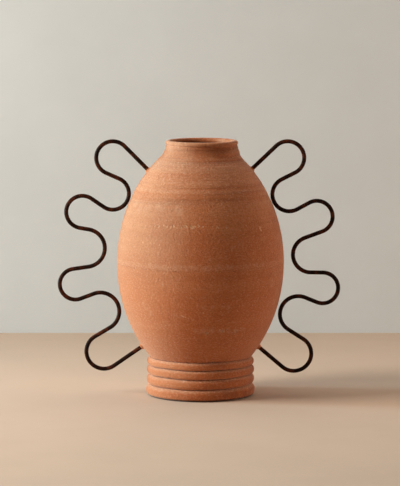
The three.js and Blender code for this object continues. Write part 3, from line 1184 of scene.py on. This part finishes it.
wall_marks = marks_along(MARK_ROWS, wall_radius)
foot_marks = marks_along(FOOT_ROWS, lambda height: FOOT_MARK_RADIUS)
neck_marks = marks_along(NECK_ROWS, lambda height: RIM_RADIUS)
neck_marks += marks_along(THROAT_ROWS, lambda height: THROAT_MARK_RADIUS)
turned("floor_slab", floor_outline(), turns=FLOOR_TURNS, ring_depth=0.0)
sag = {"sag": COIL_SAG, "sag_height": FOOT_HEIGHT}
rolled_clay = {"ring_depth": 0.0, "wobble": COIL_WOBBLE, "lump_depth": COIL_LUMPS, "ledge_dust": COIL_DUST_AND_HIGHLIGHT}
for coil in COILS:
    coil_seed = PIT_SEEDS[coil]
    turned(coil, coil_outline(coil), foot_marks, turns=COIL_TURNS, seed=coil_seed, **rolled_clay, **sag)
low_marks = [mark for mark in wall_marks if mark["place"].z < BELLY_HEIGHT]
high_marks = [mark for mark in wall_marks if mark["place"].z > BELLY_HEIGHT]
thrown_bowl = {"turns": BODY_TURNS, "seed": PIT_SEEDS["lower_body"]}
turned("lower_body", lower_outline(), low_marks, **thrown_bowl, **sag)
lute = {"band_height": BELLY_HEIGHT + LUTE_RISE, "band_width": LUTE_WIDTH, "band_depth": LUTE_DEPTH}
thrown_dome = {"turns": BODY_TURNS, "ring_depth": SHOULDER_RINGS, "seed": PIT_SEEDS["upper_body"]}
turned("upper_body", upper_outline(), high_marks, **thrown_dome, **lute)
neck_middle = (SHOULDER_HEIGHT + RIM_HEIGHT) / 2
lean = {"lean": NECK_LEAN, "tilt": RIM_TILT, "lean_start": SHOULDER_HEIGHT, "lean_full": neck_middle}
damp = {"damp": NECK_SHADE, "damp_side": NECK_SHADE_SIDE, "band_height": RIM_TOP - NECK_SHADE_DROP, "band_width": NECK_SHADE_WIDTH}
damp |= {"throat_shade": THROAT_SHADE, "throat_side": THROAT_SIDE, "throat_top": RIM_TOP - THROAT_DROP}
thrown_neck = {"turns": NECK_TURNS, "ring_depth": NECK_RINGS, "seed": PIT_SEEDS["neck_collar"]}
turned("neck_collar", neck_outline(), neck_marks, ledge_dust=0.0, **thrown_neck, **lean, **damp)

pressed_clay = {"turns": BED_TURNS, "ring_depth": 0.0, "lump_depth": BED_LUMPS, "lump_size": BED_LUMP_SIZE}
for name, handle in HANDLES.items():
    side = handle["side"]
    points, ends = handle_route(handle)
    route = [Vector((side * p.x, p.y)) for p in points]
    near_wall = [max(0, 1 - min((p - end[0]).length for end in ends) / RUST_BY_WALL) for p in points]
    base = line_mesh(name, route, False, near_wall)
    rod = made_by(bent_rod, name + "_rod", base, radius=ROD_RADIUS, sides=ROD_SIDES, finish=iron)
    settled(rod, name + "_handle")
    for level, (entry, outward, depth) in zip(("upper", "lower"), ends):
        outline = bed_outline(depth, BED_COLLARS[level])[::-1]
        base = line_mesh("bed", outline, True, [0] * len(outline))
        bed = made_by(turned_clay, f"{name}_{level}_clay_bed", base, finish=mortar, **pressed_clay)
        direction = Vector((side * outward.x, 0, outward.y))
        turn = Vector((0, 0, 1)).rotation_difference(direction).to_matrix().to_4x4()
        bed.data.transform(Matrix.Translation((side * entry.x, 0, entry.y)) @ turn)
        settled(bed, f"{name}_{level}_socket")


# Stage, lights and camera
def stage_sheet(name, corners, colour, far_shade=1.0):
    """A plain sheet whose colour darkens a little towards the backdrop, as painted shade, where its far
    shade is under 1.
    """
    mesh = bpy.data.meshes.new(name)
    mesh.from_pydata(corners, [], [tuple(range(len(corners)))])
    sheet = new_object(name, mesh)
    material, work, shader, place = new_material(name + "_paint")
    to_back = work.axis(place, "Y")
    tone = work.ramp(work.noise(place, 6, 4, 0.6), 0.3, 0.7, *STAGE_MOTTLE)
    tone = work.times(tone, work.ramp(to_back, FLOOR_SHADE_START, BACKDROP_PLACE, 1.0, far_shade))
    grey = work.node("ShaderNodeCombineColor", {0: tone, 1: tone, 2: tone})
    shade = work.colour_mix(1.0, colour, grey, "MULTIPLY")
    work.feed_all(shader, {"Base Color": shade, "Roughness": 0.9})
    mesh.materials.append(material)
    return material, work, shader


def seen_from_front_only(material, work, shader):
    clear = work.node("ShaderNodeBsdfTransparent")
    back = work.node("ShaderNodeNewGeometry").outputs["Backfacing"]
    either = work.node("ShaderNodeMixShader", {0: back, 1: shader.outputs[0], 2: clear})
    output = next(n for n in material.node_tree.nodes if n.type == "OUTPUT_MATERIAL")
    work.feed(output.inputs["Surface"], either)


reach = STAGE_REACH
back = BACKDROP_PLACE
floor_corners = [(-reach, -reach, 0), (reach, -reach, 0), (reach, reach, 0), (-reach, reach, 0)]
wall_corners = [(-reach, back, 0), (reach, back, 0), (reach, back, reach), (-reach, back, reach)]
stage_sheet("pale_floor", floor_corners, FLOOR_COLOUR, FLOOR_FAR_SHADE)
seen_from_front_only(*stage_sheet("pale_backdrop", wall_corners, WALL_COLOUR))


def soft_light(name, angle, tilt, distance, size, power, colour):
    """A large area light aimed at the vase."""
    light = bpy.data.lights.new(name, "AREA")
    light.shape = "RECTANGLE"
    light.size, light.size_y = size
    light.energy = power
    light.color = colour
    lamp = new_object(name, light)
    turn = math.radians(angle)
    rise = math.radians(tilt)
    away = Vector((math.sin(turn) * math.cos(rise), -math.cos(turn) * math.cos(rise), math.sin(rise)))
    lamp.location = Vector(LIGHT_AIM) + away * distance
    lamp.rotation_euler = away.to_track_quat("Z", "Y").to_euler()


for name, light in LIGHTS.items():
    soft_light(name, *light)

world = bpy.data.worlds.new("studio")
bpy.context.scene.world = world
world.use_nodes = True
sky = NodeWork(world.node_tree)
world.node_tree.nodes.clear()
ambient = sky.node("ShaderNodeBackground", {"Color": AMBIENT_COLOUR, "Strength": AMBIENT_STRENGTH})
seen = sky.node("ShaderNodeBackground", {"Color": SURROUND_COLOUR, "Strength": 1.0})
camera_ray = sky.node("ShaderNodeLightPath").outputs["Is Camera Ray"]
surround = sky.node("ShaderNodeMixShader", {0: camera_ray, 1: ambient, 2: seen})
sky.node("ShaderNodeOutputWorld", {"Surface": surround})

lens = bpy.data.cameras.new("camera")
lens.lens = CAMERA_LENS
lens.sensor_width = CAMERA_SENSOR
camera = new_object("camera", lens)
camera.location = CAMERA_PLACE
camera.rotation_euler = (math.pi / 2 - CAMERA_PITCH, 0, 0)
bpy.context.scene.camera = camera

bpy.context.scene.view_settings.view_transform = "Standard"
